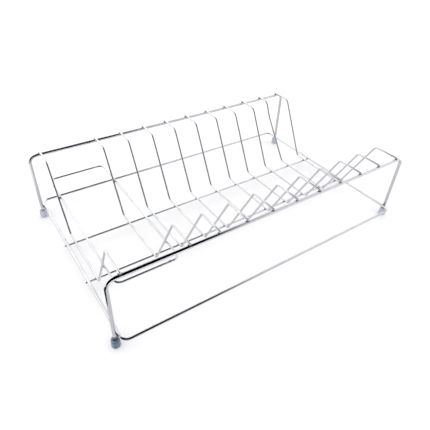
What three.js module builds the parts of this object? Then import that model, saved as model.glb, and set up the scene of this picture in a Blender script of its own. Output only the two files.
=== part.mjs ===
// Wire dish drying rack: millimetres, +Z up, origin on the floor under the middle of the rack.
// X runs along the rack (wide bay at the -X end), -Y is the front.
import * as THREE from 'three';

// wire diameters
const FRAME_WIRE = 5;
const RING_WIRE = 4;
const RIB_WIRE = 3;
const RAIL_WIRE = 3;
const LOOP_WIRE = 3;
const WELD_GAP = 0.25;

// foot caps
const FOOT_HEIGHT = 12;
const FOOT_RADIUS = 5.75;
const FOOT_TOP_RADIUS = 5.3;
const FOOT_FLAT_RADIUS = 4.2;
const FOOT_EDGE = 1.4;
const FOOT_LIP = 0.6;
const SOCKET_RADIUS = FRAME_WIRE / 2 + 0.3;
const SOCKET_FLOOR = 3;
const LEG_END_GAP = 0.3;

// heights of the wire centre lines above the floor
const RAIL_Z = 14.25;
const RIB_FLOOR_Z = RAIL_Z + RAIL_WIRE / 2 + RIB_WIRE / 2 + WELD_GAP;
const RING_Z = RAIL_Z + RAIL_WIRE / 2 + RING_WIRE / 2 + WELD_GAP;
const TOP_RAIL_Z = 109.3;
const RIB_TOP_Z = TOP_RAIL_Z + FRAME_WIRE / 2 + RIB_WIRE / 2 + WELD_GAP;
const LOOP_Z = 66.5;

// base ring and the two end-to-end frames
const RING_HALF_LENGTH = 238;
const RING_HALF_DEPTH = 156.5;
const RING_CORNER = 10;
const LEG_X = RING_HALF_LENGTH + RING_WIRE / 2 + FRAME_WIRE / 2 + 0.3;
const FRAME_CORNER = 11;
const FRONT_FRAME_Y = -143.5;
const BACK_FRAME_Y = 140;

// low cross rails
const HEEL_RAIL_Y = 37;
const TOE_RAIL_Y = -45.5;
const RAIL_LEFT_X = -241.5;
const RAIL_RIGHT_X = 239;

// ribs: one end rib, the wide bay, then ten evenly spaced
const END_RIB_X = -226;
const SECOND_RIB_X = -141.5;
const RIB_PITCH = 41;
const RIB_COUNT = 11;

// rib outline, back to front: tail, shoulder, heel, toe, peak, nose
const TAIL_Y = BACK_FRAME_Y + 5;
const SHOULDER_Y = 106.7;
const HEEL_Y = 55;
const TOE_Y = -54.3;
const PEAK_Y = -104.6;
const NOSE_Y = FRONT_FRAME_Y - 1.5;
const SHOULDER_BEND = 12;
const HEEL_BEND = 8;
const TOE_BEND = 6;
const PEAK_BEND = 5;

// one rib has been knocked: its back slope bulges backwards at a kink
const BENT_RIB = 9;
const KINK_SHOULDER_Y = 118;
const KINK_Y = 105;
const KINK_Z = 86.5;
const KINK_BEND = 25;

// basket loop in the wide bay, welded to the right of the first two ribs
const LOOP_OFFSET = RIB_WIRE / 2 + LOOP_WIRE / 2 + WELD_GAP;
const LOOP_BACK_Y = 133.5;
const LOOP_FRONT_Y = -114.5;
const LOOP_CORNER = 9;

// smoothness
const THICK_SIDES = 12;
const RING_SIDES = 10;
const THIN_SIDES = 8;
const FOOT_SIDES = 20;
const BEND_STEP = Math.PI / 12;

const vec = (x, y, z) => new THREE.Vector3(x, y, z);

// A wire centre line given station by station, so straights cost one step and bends a few.
class WirePath extends THREE.Curve {
  constructor(stations) {
    super();
    this.stations = stations;
    this.steps = stations.length - 1;
  }

  stationAt(u) {
    return this.stations[Math.round(u * this.steps)];
  }

  getPoint(u, target = new THREE.Vector3()) {
    return target.copy(this.stationAt(u).point);
  }

  getPointAt(u, target) {
    return this.getPoint(u, target);
  }

  getTangent(u, target = new THREE.Vector3()) {
    return target.copy(this.stationAt(u).tangent);
  }

  getTangentAt(u, target) {
    return this.getTangent(u, target);
  }
}

// Stations round one rounded corner, from the straight coming in to the straight going out.
function bendStations(before, corner, after, radius) {
  const incoming = corner.clone().sub(before).normalize();
  const outgoing = after.clone().sub(corner).normalize();
  const turn = incoming.angleTo(outgoing);
  const setback = radius * Math.tan(turn / 2);
  const start = corner.clone().addScaledVector(incoming, -setback);
  const axis = incoming.clone().cross(outgoing).normalize();
  const inward = axis.clone().cross(incoming);
  const centre = start.clone().addScaledVector(inward, radius);
  const steps = Math.max(2, Math.ceil(turn / BEND_STEP));
  const stations = [];
  for (let i = 0; i <= steps; i += 1) {
    const angle = (turn * i) / steps;
    const spoke = inward.clone().multiplyScalar(-radius).applyAxisAngle(axis, angle);
    const tangent = incoming.clone().applyAxisAngle(axis, angle);
    stations.push({ point: centre.clone().add(spoke), tangent });
  }
  return stations;
}

// An open wire through the given corners, each with its bend radius.
function openPath(corners, radii) {
  const last = corners.length - 1;
  const startTangent = corners[1].clone().sub(corners[0]).normalize();
  const endTangent = corners[last].clone().sub(corners[last - 1]).normalize();
  const stations = [{ point: corners[0], tangent: startTangent }];
  for (let i = 1; i < last; i += 1) {
    stations.push(...bendStations(corners[i - 1], corners[i], corners[i + 1], radii[i - 1]));
  }
  stations.push({ point: corners[last], tangent: endTangent });
  return new WirePath(stations);
}

// A closed wire through the given corners, one bend radius for all of them.
function closedPath(corners, radius) {
  const count = corners.length;
  const stations = [];
  for (let i = 0; i < count; i += 1) {
    const before = corners[(i + count - 1) % count];
    const after = corners[(i + 1) % count];
    stations.push(...bendStations(before, corners[i], after, radius));
  }
  stations.push(stations[0]);
  return new WirePath(stations);
}

// Open wire: a round section swept along the path, closed by its two cut ends.
function openWire(path, diameter, sides) {
  const section = new THREE.Shape();
  section.absarc(0, 0, diameter / 2, 0, Math.PI * 2);
  return new THREE.ExtrudeGeometry(section, {
    steps: path.steps,
    curveSegments: sides / 2,
    bevelEnabled: false,
    extrudePath: path,
  });
}

// Closed wire: the tube joins back onto itself.
function closedWire(path, diameter, sides) {
  return new THREE.TubeGeometry(path, path.steps, diameter / 2, sides, true);
}

function rectangleCorners(left, right, front, back, z) {
  return [vec(left, front, z), vec(right, front, z), vec(right, back, z), vec(left, back, z)];
}

function frameWire(y) {
  const legEndZ = SOCKET_FLOOR + LEG_END_GAP;
  const corners = [
    vec(-LEG_X, y, legEndZ),
    vec(-LEG_X, y, TOP_RAIL_Z),
    vec(LEG_X, y, TOP_RAIL_Z),
    vec(LEG_X, y, legEndZ),
  ];
  return openWire(openPath(corners, [FRAME_CORNER, FRAME_CORNER]), FRAME_WIRE, THICK_SIDES);
}

function baseRingWire() {
  const corners = rectangleCorners(
    -RING_HALF_LENGTH,
    RING_HALF_LENGTH,
    -RING_HALF_DEPTH,
    RING_HALF_DEPTH,
    RING_Z,
  );
  return closedWire(closedPath(corners, RING_CORNER), RING_WIRE, RING_SIDES);
}

function crossRailWire(y) {
  const ends = [vec(RAIL_LEFT_X, y, RAIL_Z), vec(RAIL_RIGHT_X, y, RAIL_Z)];
  return openWire(openPath(ends, []), RAIL_WIRE, THIN_SIDES);
}

function ribX(index) {
  return index === 0 ? END_RIB_X : SECOND_RIB_X + RIB_PITCH * (index - 1);
}

function ribWire(x, bent) {
  const shoulderY = bent ? KINK_SHOULDER_Y : SHOULDER_Y;
  const corners = [
    vec(x, TAIL_Y, RIB_TOP_Z),
    vec(x, shoulderY, RIB_TOP_Z),
    vec(x, HEEL_Y, RIB_FLOOR_Z),
    vec(x, TOE_Y, RIB_FLOOR_Z),
    vec(x, PEAK_Y, RIB_TOP_Z),
    vec(x, NOSE_Y, RIB_TOP_Z),
  ];
  const radii = [SHOULDER_BEND, HEEL_BEND, TOE_BEND, PEAK_BEND];
  if (bent) {
    corners.splice(2, 0, vec(x, KINK_Y, KINK_Z));
    radii.splice(1, 0, KINK_BEND);
  }
  return openWire(openPath(corners, radii), RIB_WIRE, THIN_SIDES);
}

function basketLoopWire() {
  const corners = rectangleCorners(
    ribX(0) + LOOP_OFFSET,
    ribX(1) + LOOP_OFFSET,
    LOOP_FRONT_Y,
    LOOP_BACK_Y,
    LOOP_Z,
  );
  return closedWire(closedPath(corners, LOOP_CORNER), LOOP_WIRE, THIN_SIDES);
}

// A push-on cap: flat underneath, rounded foot edge, slightly tapered sides, blind socket for the leg.
function footCap(x, y) {
  const topEdge = FOOT_TOP_RADIUS - FOOT_LIP;
  const profile = [
    [0, 0],
    [FOOT_FLAT_RADIUS, 0],
    [FOOT_RADIUS - 0.4, FOOT_EDGE * 0.4],
    [FOOT_RADIUS, FOOT_EDGE],
    [FOOT_TOP_RADIUS, FOOT_HEIGHT - FOOT_LIP],
    [topEdge, FOOT_HEIGHT],
    [SOCKET_RADIUS, FOOT_HEIGHT],
    [SOCKET_RADIUS, SOCKET_FLOOR],
    [0, SOCKET_FLOOR],
  ];
  const points = profile.map(([radius, height]) => new THREE.Vector2(radius, height));
  const cap = new THREE.LatheGeometry(points, FOOT_SIDES);
  cap.rotateX(Math.PI / 2);
  cap.translate(x, y, 0);
  return cap;
}

function chromeWire() {
  return new THREE.MeshStandardMaterial({ color: 0xc9ccd1, roughness: 0.16, metalness: 1 });
}

function footPlastic() {
  return new THREE.MeshStandardMaterial({ color: 0x7d8fa6, roughness: 0.35, metalness: 0 });
}

const rack = new THREE.Group();
rack.name = 'dish_drying_rack';

function addPiece(name, geometry, material) {
  const piece = new THREE.Mesh(geometry, material);
  piece.name = name;
  rack.add(piece);
}

addPiece('front_frame', frameWire(FRONT_FRAME_Y), chromeWire());
addPiece('back_frame', frameWire(BACK_FRAME_Y), chromeWire());
addPiece('base_ring', baseRingWire(), chromeWire());
addPiece('heel_rail', crossRailWire(HEEL_RAIL_Y), chromeWire());
addPiece('toe_rail', crossRailWire(TOE_RAIL_Y), chromeWire());
for (let i = 0; i < RIB_COUNT; i += 1) {
  const number = String(i + 1).padStart(2, '0');
  addPiece(`rib_${number}`, ribWire(ribX(i), i === BENT_RIB), chromeWire());
}
addPiece('basket_loop', basketLoopWire(), chromeWire());
addPiece('foot_front_left', footCap(-LEG_X, FRONT_FRAME_Y), footPlastic());
addPiece('foot_front_right', footCap(LEG_X, FRONT_FRAME_Y), footPlastic());
addPiece('foot_back_left', footCap(-LEG_X, BACK_FRAME_Y), footPlastic());
addPiece('foot_back_right', footCap(LEG_X, BACK_FRAME_Y), footPlastic());

export default rack;
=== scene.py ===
"""Wire dish drying rack: finished wires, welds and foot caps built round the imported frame.

Everything is in metres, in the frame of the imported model: X runs along the rack with the wide
basket bay at the -X end, -Y is the front, and Z is up from the worktop.
"""

import math
import random

import bpy
from mathutils import Matrix, Vector


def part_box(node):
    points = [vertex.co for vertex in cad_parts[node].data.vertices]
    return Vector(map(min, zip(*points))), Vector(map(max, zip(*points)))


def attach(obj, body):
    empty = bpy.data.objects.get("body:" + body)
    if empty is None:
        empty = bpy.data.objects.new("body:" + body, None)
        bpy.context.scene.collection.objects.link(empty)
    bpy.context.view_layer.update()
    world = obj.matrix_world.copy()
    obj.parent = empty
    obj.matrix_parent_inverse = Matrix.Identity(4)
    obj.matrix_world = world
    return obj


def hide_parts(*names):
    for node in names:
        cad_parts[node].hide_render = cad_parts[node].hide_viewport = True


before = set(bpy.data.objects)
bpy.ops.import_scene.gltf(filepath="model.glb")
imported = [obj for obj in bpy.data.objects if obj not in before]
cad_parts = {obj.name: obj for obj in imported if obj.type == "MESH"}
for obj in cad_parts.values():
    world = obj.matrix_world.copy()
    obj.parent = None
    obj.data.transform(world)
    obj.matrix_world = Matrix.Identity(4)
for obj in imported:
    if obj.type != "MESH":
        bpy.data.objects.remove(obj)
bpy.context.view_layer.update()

bl_info = {
    "name": "Wire dish rack",
    "version": (1, 0, 0),
    "blender": (4, 5, 0),
    "location": "3D View > Sidebar > Dish Rack",
    "description": "Models the finished wires, welds and foot caps of a dish drying rack",
    "category": "Object",
}

BODY = "root"
RIB_NODES = sorted(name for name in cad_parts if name.startswith("rib_"))
FOOT_NODES = sorted(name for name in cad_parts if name.startswith("foot_"))
BASKET_RIBS = RIB_NODES[:2]
BENT_RIB = "rib_10"

ALONG = Vector((1, 0, 0))
UP = Vector((0, 0, 1))

# Smoothness. A wire up to THICK_WIRE in diameter gets the smaller number of sides.
THICK_WIRE = 0.0035
THICK_SIDES = 32
THIN_SIDES = 24
BEND_STEP = math.radians(6)
FEWEST_BEND_STEPS = 3
SMOOTH_ANGLE = math.radians(35)
MERGE_DISTANCE = 0.00002
FLAT_TOLERANCE = 0.00001

# Cut ends, and the butt weld that closes a ring
END_ROUNDING = 0.0004
END_SEGMENTS = 3
SEAM_HALF = 0.0012
SEAM_SWELL = 1.05

# Welds: the sizes of three kinds of joint, and the steps by which a weld leaves its neck, each
# (rise in metres, share of the whole widening)
TOP_RAIL_WELD = 1.15
THIN_WIRE_WELD = 1.0
LEG_WELD = 1.45
WELD_SIDES = 16
WELD_STEPS = ((0.00022, 0.28), (0.0003, 0.72))
WELD_ACROSS = 1.12
WELD_TIP_RISE = 0.00035
WELD_TIP_WIDTH = 0.7
WELD_TWIST = 0.2
WELD_SEED = 11

# Foot caps: the steps of the rounded foot edge, each (in from the wall, up from the worktop) as
# shares of the rounding, the wall's width at the top as a share of its width at the foot edge, the
# groove under the collar, the corner of the rim and the softened mouth of the socket
FOOT_EDGE_STEPS = ((0.35, 0.2), (0.1, 0.55))
CAP_TAPER = 0.925
CAP_WALL_BULGE = 0.01
GROOVE_DEPTH = 0.00025
GROOVE_LEDGE = 0.0001
GROOVE_FLOOR = 0.0004
GROOVE_HEIGHT = 0.0006
RIM_CORNER = 0.3
MOUTH_ROUNDING = 0.0003

# Finishes: where on a pattern's scale from 0 to 1 a fade starts and ends, patterns in patches per
# metre, and relief as (strength, depth in metres)
WIDE_FADE = (0.3, 0.7)
MIDDLING_FADE = (0.35, 0.65)
SHARP_FADE = (0.38, 0.62)
CHROME_CLOUDS = 38.0
CHROME_RIPPLES = 160.0
CHROME_PITS = 1500.0
RIPPLE_RELIEF = (0.25, 0.00025)
CHROME_PIT_RELIEF = (0.12, 0.00004)
WELD_PATCHES = 900.0
WELD_PITS = 2600.0
WELD_PATCH_RELIEF = (0.4, 0.0002)
WELD_PIT_RELIEF = (0.25, 0.00006)
WELD_ROUGHEST = 0.42
WELD_SMOOTHEST = 0.22
HEAT_TINT = (0.78, 0.72, 0.66)
CAP_SWIRLS = 260.0
CAP_GRAIN = 2400.0
SWIRL_RELIEF = (0.1, 0.0001)
GRAIN_RELIEF = (0.15, 0.00003)
CAP_SCUFFED_TO = 0.003
CAP_SCUFFED_ROUGHNESS = 0.55
CAP_ROUGHNESS = 0.25
CAP_IOR = 1.47

# The caps grow darker towards the front left, where X + Y is least: wholly dark at the first value,
# not at all from the second
DARK_CAP_X_PLUS_Y = -0.3
LIGHT_CAP_X_PLUS_Y = -0.15

# Camera: its place, and the directions that are right and up in its picture
CAMERA_PLACE = (-0.32089, -0.43697, 0.43188)
CAMERA_RIGHT = (0.828629, -0.558296, 0.040987)
CAMERA_UP = (0.323321, 0.537073, 0.779112)
CAMERA_SENSOR = 36.0
CAMERA_NEAR = 0.01
CAMERA_FAR = 60.0

# Floor
FLOOR_SIZE = 16.0
FLOOR_PATCHES = 6.0
FLOOR_DARKEST = 0.99
FLOOR_ROUGHNESS = 0.9

# Cards that only reflections see. Stops are (place along X, brightness). Curved cards run between
# two angles round the rack's long axis, and floor cards cover a range of X and a range of Y.
CARD_LEFT = -4.0
CARD_RIGHT = 1.5
CARD_AXIS_HEIGHT = 0.06
CARD_FLOOR_HEIGHT = 0.002
CARD_STEP_VERTICES = 144
CARD_ANGLE_MARGIN = 0.001
CARD_BLUENESS = 1.03
FLAG_STOPS = ((-4.0, 0.0), (0.12, 0.0), (0.2, 0.45), (0.28, 0.78), (0.6, 1.0))
FLAG_LOW = math.radians(-5)
FLAG_HIGH = math.radians(108)
TOP_FLAG_STOPS = ((-0.2, 0.2), (0.0, 0.2), (0.06, 1.0))
TOP_FLAG_HIGH = math.radians(134)
TOP_FLAG_LEFT = -0.2
TOP_FLAG_RIGHT = 0.06
STRIP_LEFT = -0.3
STRIP_DEPTH = (-1.2, -0.32)
LOW_FLAG_WIDTH = (-0.75, -0.301)
LOW_FLAG_DEPTH = (-0.6, -0.06)
UNDER_CARD_WIDTH = (-0.3, 0.45)
UNDER_CARD_DEPTH = (-0.31, 0.7)
UNDER_CARD_TONE = 0.8


def length(name, about, default):
    """A length that a user can change, in metres."""
    return bpy.props.FloatProperty(
        name=name,
        description=about,
        default=default,
        min=0.0,
        precision=5,
        unit="LENGTH",
        subtype="DISTANCE",
    )


def place(name, about, default):
    """A signed place along one axis, in metres."""
    return bpy.props.FloatProperty(
        name=name,
        description=about,
        default=default,
        precision=5,
        unit="LENGTH",
        subtype="DISTANCE",
    )


def colour(name, about, default):
    """A colour that a user can change."""
    return bpy.props.FloatVectorProperty(
        name=name,
        description=about,
        default=default,
        size=3,
        min=0.0,
        max=1.0,
        subtype="COLOR",
    )


def share(name, about, default):
    """A number from 0 to 1."""
    return bpy.props.FloatProperty(
        name=name,
        description=about,
        default=default,
        min=0.0,
        max=1.0,
        subtype="FACTOR",
    )


class WireSizes(bpy.types.PropertyGroup):
    """Wire diameters and the bends of the frames, the ring and the basket loop."""

    frame_wire: length("Frame wire", "Diameter of the front and back frames", 0.005)
    ring_wire: length("Ring wire", "Diameter of the base ring", 0.004)
    rib_wire: length("Rib wire", "Diameter of the ribs", 0.003)
    rail_wire: length("Rail wire", "Diameter of the two low cross rails", 0.003)
    loop_wire: length("Loop wire", "Diameter of the basket loop", 0.003)
    frame_bend: length("Frame bend", "Bend radius of the frames at their top corners", 0.011)
    ring_bend: length("Ring bend", "Bend radius of the base ring", 0.010)
    loop_bend: length("Loop bend", "Bend radius of the basket loop", 0.009)


class RibShape(bpy.types.PropertyGroup):
    """Where a rib bends, from back to front, and how tightly."""

    shoulder: place("Shoulder", "Y of the bend at the top of the back slope", 0.1067)
    heel: place("Heel", "Y of the bend at the foot of the back slope", 0.055)
    toe: place("Toe", "Y of the bend at the foot of the front rise", -0.0543)
    peak: place("Peak", "Y of the bend at the top of the front rise", -0.1046)
    shoulder_bend: length("Shoulder bend", "Bend radius at the shoulder", 0.012)
    heel_bend: length("Heel bend", "Bend radius at the heel", 0.008)
    toe_bend: length("Toe bend", "Bend radius at the toe", 0.006)
    peak_bend: length("Peak bend", "Bend radius at the peak", 0.005)
    knocked_shoulder: place("Knocked shoulder", "Y of the shoulder of the knocked rib", 0.118)
    kink: place("Kink", "Y of the kink in the knocked rib", 0.105)
    kink_height: length("Kink height", "Height of the kink above the worktop", 0.0865)
    kink_bend: length("Kink bend", "Bend radius of the kink", 0.025)


class WeldSizes(bpy.types.PropertyGroup):
    """The small collars of metal where two wires are welded."""

    neck: length("Neck", "Width of a weld at the touching point of thin wires", 0.0028)
    flare: share("Flare", "How much a weld spreads along each wire", 0.4)
    unevenness: share("Unevenness", "How much the welds differ from each other", 0.12)


class CapSizes(bpy.types.PropertyGroup):
    """The plastic cap on each leg."""

    socket: length("Socket", "Width of the hole that the leg stands in", 0.0056)
    socket_floor: length("Socket floor", "Thickness of plastic under the leg", 0.003)
    rim: length("Rim", "Rounding of the top rim", 0.0006)
    collar: length("Collar", "Height of the raised collar round the top", 0.0022)
    foot_rounding: length("Foot rounding", "Rounding of the edge that stands on the worktop", 0.0014)


class ChromeFinish(bpy.types.PropertyGroup):
    """Bright plating on every wire."""

    bright: colour("Bright plating", "Colour of clean plating", (0.71, 0.71, 0.73))
    dull: colour("Dull plating", "Colour of worn, slightly cloudy plating", (0.64, 0.64, 0.665))
    # Weld colour, far darker than plating: partly the real weld, partly painted shade and reflection
    # where the wires cross
    weld: colour("Weld metal", "Colour of the plated welds", (0.2, 0.2, 0.215))
    smoothest: share("Smoothest", "Roughness of the best polished stretches", 0.04)
    roughest: share("Roughest", "Roughness of the dullest stretches", 0.13)


class CapFinish(bpy.types.PropertyGroup):
    """Slightly see-through moulded plastic."""

    light: colour("Light plastic", "Colour of a cap away from the front left where it is thin", (0.6, 0.65, 0.74))
    dark: colour("Dark plastic", "Colour of a cap away from the front left where it is thick", (0.46, 0.51, 0.61))
    # Tones of the cap at the front left, darker than the others'
    front_left_light: colour("Light front left plastic", "Thin parts of the front left cap", (0.26, 0.33, 0.42))
    front_left_dark: colour("Dark front left plastic", "Thick parts of the front left cap", (0.12, 0.165, 0.23))
    clearness: share("Clearness", "How much light goes through", 0.35)


class StudioSetup(bpy.types.PropertyGroup):
    """Floor, light and camera."""

    backdrop: colour("Backdrop", "Colour of the surroundings", (1.0, 1.0, 1.0))
    floor: colour("Floor", "Colour of the floor", (0.77, 0.77, 0.775))
    backdrop_light: bpy.props.FloatProperty(
        name="Backdrop light",
        description="Strength of the light from the surroundings",
        default=1.5,
        min=0.0,
    )
    flag_radius: length("Flag radius", "Distance of the dark flag from the rack's axis", 0.62)
    strip_light: bpy.props.FloatProperty(
        name="Strip light",
        description="Brightness of the low strip that edges the front wires",
        default=1.7,
        min=0.0,
    )
    lens: bpy.props.FloatProperty(
        name="Lens",
        description="Focal length of the camera",
        default=34.77,
        min=1.0,
        unit="CAMERA",
    )


def deselect_all():
    """Leaves edit mode and clears the selection."""
    if bpy.context.object and bpy.context.object.mode != "OBJECT":
        bpy.ops.object.mode_set(mode="OBJECT")
    bpy.ops.object.select_all(action="DESELECT")


def select_where(test):
    """Selects the vertices of the active piece whose place in the rack passes the test."""
    bpy.ops.object.mode_set(mode="OBJECT")
    piece = bpy.context.object
    bpy.context.tool_settings.mesh_select_mode = (True, False, False)
    mesh = piece.data
    for part in (mesh.polygons, mesh.edges):
        part.foreach_set("select", [False] * len(part))
    for vertex in mesh.vertices:
        vertex.select = test(piece.matrix_world @ vertex.co)
    bpy.ops.object.mode_set(mode="EDIT")


def on_plane(point, normal):
    """A test for vertices that lie on the plane through point."""
    return lambda spot: abs((spot - point).dot(normal)) < FLAT_TOLERANCE


def on_end(point, heading, diameter):
    """A test for vertices on the round section of a wire at point."""
    flat = on_plane(point, heading)
    return lambda spot: flat(spot) and (spot - point).length < diameter


def turn_outwards():
    """Makes every face of the active piece point outwards."""
    bpy.ops.mesh.select_all(action="SELECT")
    bpy.ops.mesh.normals_make_consistent(inside=False)


def finish_piece(piece, name, material, nodes=()):
    """Puts the piece's place into its mesh, smooths it and ties it to the rack."""
    deselect_all()
    piece.select_set(True)
    bpy.context.view_layer.objects.active = piece
    bpy.ops.object.transform_apply(location=True, rotation=True, scale=True)
    bpy.ops.object.shade_smooth_by_angle(angle=SMOOTH_ANGLE)
    piece.name = name
    piece.data.name = name
    piece.data.materials.clear()
    piece.data.materials.append(material)
    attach(piece, BODY)
    if nodes:
        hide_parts(*nodes)


def start_wire(start, heading, diameter):
    """Adds the round section that the wire is drawn from and selects it."""
    deselect_all()
    bpy.ops.mesh.primitive_circle_add(
        vertices=THICK_SIDES if diameter > THICK_WIRE else THIN_SIDES,
        radius=diameter / 2,
        fill_type="NOTHING",
        location=start,
        rotation=heading.to_track_quat("Z", "Y").to_euler(),
    )
    bpy.ops.object.mode_set(mode="EDIT")
    bpy.ops.mesh.select_all(action="SELECT")
    return bpy.context.object


def run_straight(step):
    """Draws the wire on by one straight step."""
    bpy.ops.mesh.extrude_region_move(TRANSFORM_OT_translate={"value": step})


def run_bend(start, incoming, outgoing, radius):
    """Spins the wire round one bend that begins at start."""
    axis = incoming.cross(outgoing).normalized()
    turn = incoming.angle(outgoing)
    bpy.ops.mesh.spin(
        steps=max(FEWEST_BEND_STEPS, math.ceil(turn / BEND_STEP)),
        angle=-turn,
        center=start + axis.cross(incoming) * radius,
        axis=axis,
    )


def draw_round_corners(start, corners, bends, end):
    """Draws the wire from start round every corner to end."""
    here = start
    stops = [*corners, end]
    for corner, after, radius in zip(stops, stops[1:], bends):
        incoming = (corner - here).normalized()
        outgoing = (after - corner).normalized()
        setback = radius * math.tan(incoming.angle(outgoing) / 2)
        bend_start = corner - incoming * setback
        run_straight(bend_start - here)
        run_bend(bend_start, incoming, outgoing, radius)
        here = corner + outgoing * setback
    run_straight(end - here)


def close_cut_end(point, heading, diameter):
    """Fills one cut end and softens its rim."""
    select_where(on_end(point, heading, diameter))
    bpy.ops.mesh.edge_face_add()
    bpy.ops.mesh.bevel(offset=END_ROUNDING, segments=END_SEGMENTS, affect="EDGES")


def open_wire(corners, bends, diameter):
    """A bent wire with two cut ends."""
    start, *between, end = corners
    setting_off = (corners[1] - start).normalized()
    arriving = (end - corners[-2]).normalized()
    piece = start_wire(start, setting_off, diameter)
    draw_round_corners(start, between, bends, end)
    close_cut_end(start, setting_off, diameter)
    close_cut_end(end, arriving, diameter)
    turn_outwards()
    return piece


def closed_wire(corners, radius, diameter):
    """A wire bent into a ring, butt welded half way between its last corner and its first."""
    seam = (corners[-1] + corners[0]) / 2
    heading = (corners[0] - seam).normalized()
    piece = start_wire(seam, heading, diameter)
    after_seam = seam + heading * SEAM_HALF
    before_seam = seam - heading * SEAM_HALF
    run_straight(after_seam - seam)
    draw_round_corners(after_seam, corners, [radius] * len(corners), before_seam)
    run_straight(seam - before_seam)
    bpy.ops.mesh.select_all(action="SELECT")
    bpy.ops.mesh.remove_doubles(threshold=MERGE_DISTANCE)
    select_where(on_end(seam, heading, diameter))
    bpy.ops.transform.resize(value=(1.0, 1.0, SEAM_SWELL), center_override=seam)
    turn_outwards()
    return piece


def box_corners(node, inset, height):
    """The four corners of a level wire that fills the node's box, back left first."""
    low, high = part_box(node)
    left, right = low.x + inset, high.x - inset
    front, back = low.y + inset, high.y - inset
    return [
        Vector((left, back, height)),
        Vector((left, front, height)),
        Vector((right, front, height)),
        Vector((right, back, height)),
    ]


def middle(node):
    """The middle of a node's box."""
    low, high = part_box(node)
    return (low + high) / 2


def new_material(name):
    """An empty node material with its shader, ready for a finish to be built on."""
    material = bpy.data.materials.new(name)
    material.use_nodes = True
    tree = material.node_tree
    shader = tree.nodes["Principled BSDF"]
    spot = tree.nodes.new("ShaderNodeTexCoord")
    return material, tree, shader, spot.outputs["Object"]


def add_noise(tree, spot, scale, detail=2.0):
    """Cloudy noise over the rack; scale is in patches per metre."""
    noise = tree.nodes.new("ShaderNodeTexNoise")
    noise.inputs["Scale"].default_value = scale
    noise.inputs["Detail"].default_value = detail
    tree.links.new(spot, noise.inputs["Vector"])
    return noise.outputs["Fac"]


def spread(tree, value, low, high, low_out, high_out):
    """Stretches a value's low to high onto low_out to high_out."""
    node = tree.nodes.new("ShaderNodeMapRange")
    node.inputs["From Min"].default_value = low
    node.inputs["From Max"].default_value = high
    node.inputs["To Min"].default_value = low_out
    node.inputs["To Max"].default_value = high_out
    tree.links.new(value, node.inputs["Value"])
    return node.outputs["Result"]


def blend_colours(tree, value, first, second, fade=MIDDLING_FADE):
    """Goes from one colour to another as the value passes through the fade."""
    ramp = tree.nodes.new("ShaderNodeValToRGB")
    for element, position, shade in zip(ramp.color_ramp.elements, fade, (first, second)):
        element.position = position
        element.color = (*shade, 1)
    tree.links.new(value, ramp.inputs["Fac"])
    return ramp.outputs["Color"]


def add_relief(tree, shader, layers):
    """Stacks bump layers, each a value with its (strength, depth in metres), onto the shader."""
    last = None
    for value, (strength, depth) in layers:
        bump = tree.nodes.new("ShaderNodeBump")
        bump.inputs["Strength"].default_value = strength
        bump.inputs["Distance"].default_value = depth
        tree.links.new(value, bump.inputs["Height"])
        if last:
            tree.links.new(last, bump.inputs["Normal"])
        last = bump.outputs["Normal"]
    tree.links.new(last, shader.inputs["Normal"])


def chrome_finish(name):
    """Bright plated steel wire: cloudy stretches, drawn ripples and fine pits."""
    look = bpy.context.scene.rack_chrome
    material, tree, shader, spot = new_material(name)
    clouds = add_noise(tree, spot, CHROME_CLOUDS, detail=3.0)
    ripples = add_noise(tree, spot, CHROME_RIPPLES)
    pits = add_noise(tree, spot, CHROME_PITS, detail=1.0)
    plating = blend_colours(tree, clouds, look.dull, look.bright)
    tree.links.new(plating, shader.inputs["Base Color"])
    polish = spread(tree, clouds, *WIDE_FADE, look.roughest, look.smoothest)
    tree.links.new(polish, shader.inputs["Roughness"])
    shader.inputs["Metallic"].default_value = 1.0
    add_relief(tree, shader, [(ripples, RIPPLE_RELIEF), (pits, CHROME_PIT_RELIEF)])
    return material


def weld_and_shade_finish(name):
    """Plated weld metal, painted much darker than plating so that it stands for the shade and
    reflection at each crossing: duller, pitted, with a trace of heat colour.
    """
    look = bpy.context.scene.rack_chrome
    material, tree, shader, spot = new_material(name)
    patches = add_noise(tree, spot, WELD_PATCHES, detail=3.0)
    pits = add_noise(tree, spot, WELD_PITS)
    heat = tuple(part * tint for part, tint in zip(look.weld, HEAT_TINT))
    metal = blend_colours(tree, patches, heat, look.weld)
    tree.links.new(metal, shader.inputs["Base Color"])
    polish = spread(tree, patches, *WIDE_FADE, WELD_ROUGHEST, WELD_SMOOTHEST)
    tree.links.new(polish, shader.inputs["Roughness"])
    shader.inputs["Metallic"].default_value = 1.0
    add_relief(tree, shader, [(patches, WELD_PATCH_RELIEF), (pits, WELD_PIT_RELIEF)])
    return material


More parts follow.
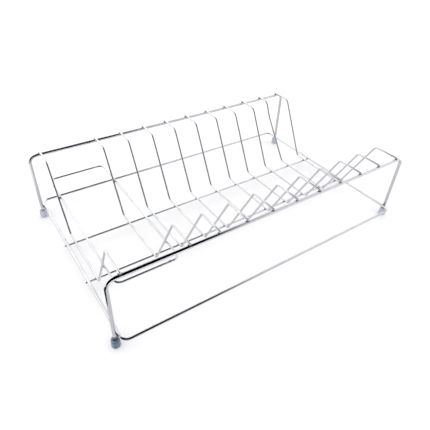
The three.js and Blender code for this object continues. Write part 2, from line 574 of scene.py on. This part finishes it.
def cap_finish(name):
    """Slightly see-through plastic, scuffed near the worktop and darker towards the front left."""
    look = bpy.context.scene.rack_caps_finish
    material, tree, shader, spot = new_material(name)
    swirl = add_noise(tree, spot, CAP_SWIRLS)
    grain = add_noise(tree, spot, CAP_GRAIN)
    # Tones of the caps away from the front left, and darker tones for the cap towards the front left
    brighter_tones = blend_colours(tree, swirl, look.dark, look.light, WIDE_FADE)
    dimmer_tones = blend_colours(tree, swirl, look.front_left_dark, look.front_left_light, SHARP_FADE)
    axes = tree.nodes.new("ShaderNodeSeparateXYZ")
    tree.links.new(spot, axes.inputs["Vector"])
    corner = tree.nodes.new("ShaderNodeMath")
    corner.operation = "ADD"
    tree.links.new(axes.outputs["X"], corner.inputs[0])
    tree.links.new(axes.outputs["Y"], corner.inputs[1])
    # 0 at the front left, where the caps are darkest, rising to 1 away from it
    away_from_front_left = spread(tree, corner.outputs[0], DARK_CAP_X_PLUS_Y, LIGHT_CAP_X_PLUS_Y, 0.0, 1.0)
    front_left_blend = tree.nodes.new("ShaderNodeMix")
    front_left_blend.data_type = "RGBA"
    tree.links.new(away_from_front_left, front_left_blend.inputs["Factor"])
    tree.links.new(dimmer_tones, front_left_blend.inputs["A"])
    tree.links.new(brighter_tones, front_left_blend.inputs["B"])
    tree.links.new(front_left_blend.outputs["Result"], shader.inputs["Base Color"])
    height = axes.outputs["Z"]
    scuff = spread(tree, height, 0.0, CAP_SCUFFED_TO, CAP_SCUFFED_ROUGHNESS, CAP_ROUGHNESS)
    tree.links.new(scuff, shader.inputs["Roughness"])
    shader.inputs["IOR"].default_value = CAP_IOR
    shader.inputs["Transmission Weight"].default_value = look.clearness
    add_relief(tree, shader, [(swirl, SWIRL_RELIEF), (grain, GRAIN_RELIEF)])
    return material


def shared_finish(name, maker):
    """Makes a finish once and gives it again when asked."""
    return bpy.data.materials.get(name) or maker(name)


def chrome():
    """The wires' finish."""
    return shared_finish("bright chrome plating", chrome_finish)


class RACK_OT_frames(bpy.types.Operator):
    """Bend the front and back frames, each one heavy wire with a top rail and two legs"""

    bl_idname = "rack.frames"
    bl_label = "Front and back frames"

    def execute(self, context):
        sizes = context.scene.rack_wires
        inset = sizes.frame_wire / 2
        for node in ("front_frame", "back_frame"):
            low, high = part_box(node)
            y = middle(node).y
            corners = [
                Vector((low.x + inset, y, low.z)),
                Vector((low.x + inset, y, high.z - inset)),
                Vector((high.x - inset, y, high.z - inset)),
                Vector((high.x - inset, y, low.z)),
            ]
            piece = open_wire(corners, [sizes.frame_bend] * 2, sizes.frame_wire)
            finish_piece(piece, f"{node}_wire", chrome(), [node])
        return {"FINISHED"}


class RACK_OT_base_ring(bpy.types.Operator):
    """Bend the closed base ring that ties the four legs together"""

    bl_idname = "rack.base_ring"
    bl_label = "Base ring"

    def execute(self, context):
        sizes = context.scene.rack_wires
        corners = box_corners("base_ring", sizes.ring_wire / 2, middle("base_ring").z)
        piece = closed_wire(corners, sizes.ring_bend, sizes.ring_wire)
        finish_piece(piece, "base_ring_wire", chrome(), ["base_ring"])
        return {"FINISHED"}


class RACK_OT_cross_rails(bpy.types.Operator):
    """Cut the two low cross rails that carry the ribs"""

    bl_idname = "rack.cross_rails"
    bl_label = "Cross rails"

    def execute(self, context):
        for node in ("heel_rail", "toe_rail"):
            low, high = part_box(node)
            centre = middle(node)
            ends = [
                Vector((low.x, centre.y, centre.z)),
                Vector((high.x, centre.y, centre.z)),
            ]
            piece = open_wire(ends, [], context.scene.rack_wires.rail_wire)
            finish_piece(piece, f"{node}_wire", chrome(), [node])
        return {"FINISHED"}


def rib_line(node):
    """Corners and bends of a rib, from its tail behind the back rail to its nose at the front."""
    shape = bpy.context.scene.rack_ribs
    inset = bpy.context.scene.rack_wires.rib_wire / 2
    low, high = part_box(node)
    x = middle(node).x
    top, floor = high.z - inset, low.z + inset
    knocked = node == BENT_RIB
    corners = [
        Vector((x, high.y, top)),
        Vector((x, shape.knocked_shoulder if knocked else shape.shoulder, top)),
        Vector((x, shape.heel, floor)),
        Vector((x, shape.toe, floor)),
        Vector((x, shape.peak, top)),
        Vector((x, low.y, top)),
    ]
    bends = [shape.shoulder_bend, shape.heel_bend, shape.toe_bend, shape.peak_bend]
    if knocked:
        corners.insert(2, Vector((x, shape.kink, shape.kink_height)))
        bends.insert(1, shape.kink_bend)
    return corners, bends


def copy_piece(piece, shift):
    """A copy with its own mesh, moved by shift."""
    deselect_all()
    piece.select_set(True)
    bpy.context.view_layer.objects.active = piece
    bpy.ops.object.duplicate(linked=False)
    bpy.ops.transform.translate(value=shift)
    return bpy.context.object


class RACK_OT_ribs(bpy.types.Operator):
    """Bend the ribs, each one thin wire that holds a plate on either side"""

    bl_idname = "rack.ribs"
    bl_label = "Ribs"

    def execute(self, context):
        first = RIB_NODES[0]
        pattern = None
        for node in RIB_NODES:
            if node == BENT_RIB or pattern is None:
                corners, bends = rib_line(node)
                piece = open_wire(corners, bends, context.scene.rack_wires.rib_wire)
                pattern = pattern or piece
            else:
                piece = copy_piece(pattern, middle(node) - middle(first))
            finish_piece(piece, f"{node}_wire", chrome(), [node])
            bpy.context.view_layer.update()
        return {"FINISHED"}


class RACK_OT_basket_loop(bpy.types.Operator):
    """Bend the basket loop that stands half way up the wide bay"""

    bl_idname = "rack.basket_loop"
    bl_label = "Basket loop"

    def execute(self, context):
        sizes = context.scene.rack_wires
        corners = box_corners("basket_loop", sizes.loop_wire / 2, middle("basket_loop").z)
        piece = closed_wire(corners, sizes.loop_bend, sizes.loop_wire)
        finish_piece(piece, "basket_loop_wire", chrome(), ["basket_loop"])
        return {"FINISHED"}


def crossing_z(upper, lower):
    """Height of the gap between two crossing wires."""
    return (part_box(upper)[0].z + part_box(lower)[1].z) / 2


def slope_y(node, height, back):
    """Where a rib's back slope or front rise passes a height."""
    shape = bpy.context.scene.rack_ribs
    inset = bpy.context.scene.rack_wires.rib_wire / 2
    low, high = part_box(node)
    top, floor = high.z - inset, low.z + inset
    foot, head = (shape.heel, shape.shoulder) if back else (shape.toe, shape.peak)
    return foot + (head - foot) * (height - floor) / (top - floor)


def rib_weld_spots(node):
    """Where one rib is welded: (point, direction across the joint, size) for each."""
    x = middle(node).x
    wires = bpy.context.scene.rack_wires
    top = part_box("back_frame")[1].z
    rib_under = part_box(node)[1].z - wires.rib_wire
    spots = []
    for rail in ("back_frame", "front_frame"):
        point = Vector((x, middle(rail).y, (top + rib_under) / 2))
        spots.append((point, UP, TOP_RAIL_WELD))
    for rail in ("heel_rail", "toe_rail"):
        point = Vector((x, middle(rail).y, crossing_z(node, rail)))
        spots.append((point, UP, THIN_WIRE_WELD))
    if node in BASKET_RIBS:
        loop_low, loop_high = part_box("basket_loop")
        height = middle("basket_loop").z
        right_of_rib = x + wires.rib_wire / 2
        side = loop_low.x if node == BASKET_RIBS[0] else loop_high.x - wires.loop_wire
        for back in (True, False):
            point = Vector(((right_of_rib + side) / 2, slope_y(node, height, back), height))
            spots.append((point, ALONG, THIN_WIRE_WELD))
    return spots


def ring_weld_spots():
    """Where the legs and the low cross rails are welded to the base ring."""
    wires = bpy.context.scene.rack_wires
    low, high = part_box("base_ring")
    height = middle("base_ring").z
    spots = []
    for rail in ("front_frame", "back_frame"):
        leg_low, leg_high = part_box(rail)
        for ring_side, leg_side in (
            (low.x, leg_low.x + wires.frame_wire),
            (high.x, leg_high.x - wires.frame_wire),
        ):
            point = Vector(((ring_side + leg_side) / 2, middle(rail).y, height))
            spots.append((point, ALONG, LEG_WELD))
    for rail in ("heel_rail", "toe_rail"):
        for x in (low.x + wires.ring_wire / 2, high.x - wires.ring_wire / 2):
            point = Vector((x, middle(rail).y, crossing_z("base_ring", rail)))
            spots.append((point, UP, THIN_WIRE_WELD))
    return spots


def weld_pattern():
    """One weld at the origin: a neck that flares along X above and along Y below."""
    look = bpy.context.scene.rack_welds
    deselect_all()
    bpy.ops.mesh.primitive_circle_add(
        vertices=WELD_SIDES, radius=look.neck / 2, fill_type="NOTHING"
    )
    piece = bpy.context.object
    bpy.ops.object.mode_set(mode="EDIT")
    along = 1 + look.flare
    for side, grow in ((1, (along, WELD_ACROSS, 1)), (-1, (WELD_ACROSS, along, 1))):
        select_where(lambda spot: abs(spot.z) < FLAT_TOLERANCE)
        for rise, widen in WELD_STEPS:
            bpy.ops.mesh.extrude_region_move(
                TRANSFORM_OT_translate={"value": (0, 0, rise * side)}
            )
            bpy.ops.transform.resize(
                value=tuple(1 + (part - 1) * widen for part in grow),
                center_override=(0, 0, 0),
                constraint_axis=(True, True, False),
            )
        bpy.ops.mesh.extrude_region_move(
            TRANSFORM_OT_translate={"value": (0, 0, WELD_TIP_RISE * side)}
        )
        bpy.ops.transform.resize(
            value=(WELD_TIP_WIDTH, WELD_TIP_WIDTH, 1), center_override=(0, 0, 0)
        )
        bpy.ops.mesh.edge_face_add()
    turn_outwards()
    bpy.ops.object.mode_set(mode="OBJECT")
    return piece


def weld_group(pattern, spots, name, draw):
    """Copies the weld to every spot, each a little different, and joins them into one piece."""
    look = bpy.context.scene.rack_welds
    copies = []
    for point, across, size in spots:
        weld = copy_piece(pattern, (0, 0, 0))
        grow = size * (1 + look.unevenness * draw.uniform(-1, 1))
        twist = Matrix.Rotation(draw.uniform(-WELD_TWIST, WELD_TWIST), 4, "Z")
        turn = across.to_track_quat("Z", "Y").to_matrix().to_4x4()
        weld.matrix_world = Matrix.Translation(point) @ turn @ twist @ Matrix.Scale(grow, 4)
        copies.append(weld)
    deselect_all()
    for weld in copies:
        weld.select_set(True)
    bpy.context.view_layer.objects.active = copies[0]
    bpy.ops.object.transform_apply(location=True, rotation=True, scale=True)
    bpy.ops.object.join()
    piece = bpy.context.object
    # The welds' dark colour is painted shade and reflection at each crossing, on top of the real
    # weld
    finish = shared_finish("weld metal with painted shade", weld_and_shade_finish)
    finish_piece(piece, name, finish)


class RACK_OT_welds(bpy.types.Operator):
    """Add the welds where wires cross, one group for each rib and one for the base ring"""

    bl_idname = "rack.welds"
    bl_label = "Welds"

    def execute(self, context):
        draw = random.Random(WELD_SEED)
        pattern = weld_pattern()
        for node in RIB_NODES:
            weld_group(pattern, rib_weld_spots(node), f"{node}_welds", draw)
        weld_group(pattern, ring_weld_spots(), "base_ring_welds", draw)
        bpy.data.objects.remove(pattern)
        return {"FINISHED"}


def cap_pattern(node):
    """One foot cap, drawn up from its base: foot edge, tapered wall, collar, rim and socket."""
    sizes = bpy.context.scene.rack_caps
    low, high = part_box(node)
    radius = (high.x - low.x) / 2
    height = high.z - low.z
    centre = middle(node)
    wall_top = radius * CAP_TAPER
    edge = sizes.foot_rounding
    groove = height - sizes.collar
    socket = sizes.socket / 2
    levels = [
        *((radius - edge * inward, edge * upward) for inward, upward in FOOT_EDGE_STEPS),
        (radius, edge),
        (wall_top + radius * CAP_WALL_BULGE, groove),
        (wall_top - GROOVE_DEPTH, groove + GROOVE_LEDGE),
        (wall_top - GROOVE_DEPTH, groove + GROOVE_FLOOR),
        (wall_top, groove + GROOVE_HEIGHT),
        (wall_top, height - sizes.rim),
        (wall_top - sizes.rim * RIM_CORNER, height - sizes.rim * RIM_CORNER),
        (wall_top - sizes.rim, height),
        (socket + MOUTH_ROUNDING, height),
        (socket, height - MOUTH_ROUNDING),
        (socket, sizes.socket_floor),
    ]
    deselect_all()
    start = radius - edge
    bpy.ops.mesh.primitive_circle_add(
        vertices=THICK_SIDES,
        radius=start,
        fill_type="NGON",
        location=(centre.x, centre.y, low.z),
    )
    piece = bpy.context.object
    bpy.ops.object.mode_set(mode="EDIT")
    bpy.ops.mesh.select_all(action="SELECT")
    wide, level = start, 0.0
    for next_wide, next_level in levels:
        bpy.ops.mesh.extrude_region_move(
            TRANSFORM_OT_translate={"value": (0, 0, next_level - level)}
        )
        ratio = next_wide / wide
        bpy.ops.transform.resize(
            value=(ratio, ratio, 1), center_override=(centre.x, centre.y, low.z)
        )
        wide, level = next_wide, next_level
    turn_outwards()
    return piece


class RACK_OT_foot_caps(bpy.types.Operator):
    """Mould one foot cap and push a copy onto every leg"""

    bl_idname = "rack.foot_caps"
    bl_label = "Foot caps"

    def execute(self, context):
        finish = shared_finish("blue grey cap plastic", cap_finish)
        first = FOOT_NODES[0]
        pattern = cap_pattern(first)
        bpy.ops.object.mode_set(mode="OBJECT")
        caps = {first: pattern}
        for node in FOOT_NODES[1:]:
            caps[node] = copy_piece(pattern, middle(node) - middle(first))
        for node, piece in caps.items():
            finish_piece(piece, f"{node}_cap", finish, [node])
        return {"FINISHED"}


def add_camera():
    """A camera above the front left corner, looking down along the rack."""
    deselect_all()
    right, up = Vector(CAMERA_RIGHT), Vector(CAMERA_UP)
    turn = Matrix((right, up, right.cross(up))).transposed()
    bpy.ops.object.camera_add(location=CAMERA_PLACE, rotation=turn.to_euler())
    camera = bpy.context.object
    camera.data.sensor_width = CAMERA_SENSOR
    camera.data.lens = bpy.context.scene.rack_studio.lens
    camera.data.clip_start = CAMERA_NEAR
    camera.data.clip_end = CAMERA_FAR
    bpy.context.scene.camera = camera


def add_surroundings():
    """Even pale light from all round."""
    look = bpy.context.scene.rack_studio
    world = bpy.data.worlds.new("pale studio")
    world.use_nodes = True
    background = world.node_tree.nodes["Background"]
    background.inputs["Color"].default_value = (*look.backdrop, 1)
    background.inputs["Strength"].default_value = look.backdrop_light
    bpy.context.scene.world = world


def add_floor():
    """A plain pale floor under the rack."""
    look = bpy.context.scene.rack_studio
    deselect_all()
    bpy.ops.mesh.primitive_plane_add(size=FLOOR_SIZE, location=(0, 0, 0))
    floor = bpy.context.object
    floor.name = "floor"
    material, tree, shader, spot = new_material("pale floor")
    mottle = add_noise(tree, spot, FLOOR_PATCHES)
    darker = tuple(part * FLOOR_DARKEST for part in look.floor)
    tree.links.new(blend_colours(tree, mottle, darker, look.floor), shader.inputs["Base Color"])
    shader.inputs["Roughness"].default_value = FLOOR_ROUGHNESS
    shader.inputs["Specular IOR Level"].default_value = 0.0
    floor.data.materials.append(material)


def card_material(name, stops):
    """A glowing or dark card; stops give its brightness at places along X."""
    material = bpy.data.materials.new(name)
    material.use_nodes = True
    tree = material.node_tree
    tree.nodes.remove(tree.nodes["Principled BSDF"])
    glow = tree.nodes.new("ShaderNodeEmission")
    spot = tree.nodes.new("ShaderNodeTexCoord")
    axes = tree.nodes.new("ShaderNodeSeparateXYZ")
    tree.links.new(spot.outputs["Object"], axes.inputs["Vector"])
    start, end = stops[0][0], stops[-1][0]
    along = spread(tree, axes.outputs["X"], start, end, 0.0, 1.0)
    ramp = tree.nodes.new("ShaderNodeValToRGB")
    tree.links.new(along, ramp.inputs["Fac"])
    elements = ramp.color_ramp.elements
    for index, (x, tone) in enumerate(stops):
        position = (x - start) / (end - start)
        element = elements[index] if index < 2 else elements.new(position)
        element.position = position
        element.color = (tone, tone, tone * CARD_BLUENESS, 1)
    tree.links.new(ramp.outputs["Color"], glow.inputs["Color"])
    tree.links.new(glow.outputs["Emission"], tree.nodes["Material Output"].inputs["Surface"])
    return material


def finish_card(card, name, material):
    """Leaves a card visible to reflections only."""
    card.name = name
    card.data.materials.clear()
    card.data.materials.append(material)
    card.visible_camera = False
    card.visible_diffuse = False
    card.visible_shadow = False
    card.visible_transmission = False


def add_curved_card(name, across, low, high, material):
    """A card bent round the rack's long axis, from a low to a high angle above the front."""
    deselect_all()
    bpy.ops.mesh.primitive_cylinder_add(
        vertices=CARD_STEP_VERTICES,
        radius=bpy.context.scene.rack_studio.flag_radius,
        depth=across[1] - across[0],
        end_fill_type="NOTHING",
        location=(sum(across) / 2, 0, CARD_AXIS_HEIGHT),
        rotation=(0, math.radians(90), 0),
    )
    card = bpy.context.object

    def off_card(spot):
        rise = math.atan2(spot.z - CARD_AXIS_HEIGHT, -spot.y)
        return not low - CARD_ANGLE_MARGIN <= rise <= high + CARD_ANGLE_MARGIN

    select_where(off_card)
    bpy.ops.mesh.delete(type="VERT")
    deselect_all()
    card.select_set(True)
    bpy.context.view_layer.objects.active = card
    bpy.ops.object.transform_apply(location=True, rotation=True, scale=True)
    finish_card(card, name, material)


def add_floor_card(name, across, deep, material):
    """A card lying just above the floor over a range of X and of Y."""
    deselect_all()
    middle_x, middle_y = sum(across) / 2, sum(deep) / 2
    bpy.ops.mesh.primitive_plane_add(size=1.0, location=(middle_x, middle_y, CARD_FLOOR_HEIGHT))
    card = bpy.context.object
    card.scale = (across[1] - across[0], deep[1] - deep[0], 1.0)
    bpy.ops.object.transform_apply(location=True, rotation=True, scale=True)
    finish_card(card, name, material)


def even(tone):
    """Stops for a card of one brightness."""
    return ((CARD_LEFT, tone), (CARD_RIGHT, tone))


def add_cards():
    """The dark flags, the pale shade and the bright strip that give polished wires contrast."""
    dark = card_material("dark flag", FLAG_STOPS)
    add_curved_card("dark_flag", (CARD_LEFT, CARD_RIGHT), FLAG_LOW, FLAG_HIGH, dark)
    grey = card_material("grey flag", TOP_FLAG_STOPS)
    short = (TOP_FLAG_LEFT, TOP_FLAG_RIGHT)
    add_curved_card("top_flag", short, FLAG_HIGH, TOP_FLAG_HIGH, grey)
    bright = card_material("strip light", even(bpy.context.scene.rack_studio.strip_light))
    add_floor_card("strip_light", (STRIP_LEFT, CARD_RIGHT), STRIP_DEPTH, bright)
    low_dark = card_material("low flag", even(0.0))
    add_floor_card("low_flag", LOW_FLAG_WIDTH, LOW_FLAG_DEPTH, low_dark)
    shade = card_material("under flag", even(UNDER_CARD_TONE))
    add_floor_card("under_flag", UNDER_CARD_WIDTH, UNDER_CARD_DEPTH, shade)


class RACK_OT_stage(bpy.types.Operator):
    """Set up the floor, the light and the camera"""

    bl_idname = "rack.stage"
    bl_label = "Studio"

    def execute(self, context):
        context.scene.view_settings.view_transform = "Standard"
        add_surroundings()
        add_floor()
        add_cards()
        add_camera()
        return {"FINISHED"}


class RACK_PT_parts(bpy.types.Panel):
    """The rack's pieces, in the order in which they are made"""

    bl_idname = "RACK_PT_parts"
    bl_label = "Dish Rack"
    bl_space_type = "VIEW_3D"
    bl_region_type = "UI"
    bl_category = "Dish Rack"

    def draw(self, context):
        for operator in OPERATORS:
            self.layout.operator(operator.bl_idname)
        for setting in SETTINGS:
            group = getattr(context.scene, setting)
            box = self.layout.box()
            for name in group.__annotations__:
                box.prop(group, name)


SETTINGS = {
    "rack_wires": WireSizes,
    "rack_ribs": RibShape,
    "rack_welds": WeldSizes,
    "rack_caps": CapSizes,
    "rack_chrome": ChromeFinish,
    "rack_caps_finish": CapFinish,
    "rack_studio": StudioSetup,
}
OPERATORS = (
    RACK_OT_frames,
    RACK_OT_base_ring,
    RACK_OT_cross_rails,
    RACK_OT_ribs,
    RACK_OT_basket_loop,
    RACK_OT_welds,
    RACK_OT_foot_caps,
    RACK_OT_stage,
)


def register():
    """Makes the settings, the operators and the panel known to Blender."""
    for setting, group in SETTINGS.items():
        bpy.utils.register_class(group)
        setattr(bpy.types.Scene, setting, bpy.props.PointerProperty(type=group))
    for operator in OPERATORS:
        bpy.utils.register_class(operator)
    bpy.utils.register_class(RACK_PT_parts)


def unregister():
    """Takes them all out again."""
    bpy.utils.unregister_class(RACK_PT_parts)
    for operator in reversed(OPERATORS):
        bpy.utils.unregister_class(operator)
    for setting, group in SETTINGS.items():
        delattr(bpy.types.Scene, setting)
        bpy.utils.unregister_class(group)


def main():
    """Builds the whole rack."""
    register()
    bpy.ops.rack.frames()
    bpy.ops.rack.base_ring()
    bpy.ops.rack.cross_rails()
    bpy.ops.rack.ribs()
    bpy.ops.rack.basket_loop()
    bpy.ops.rack.welds()
    bpy.ops.rack.foot_caps()
    bpy.ops.rack.stage()


if __name__ == "__main__":
    main()
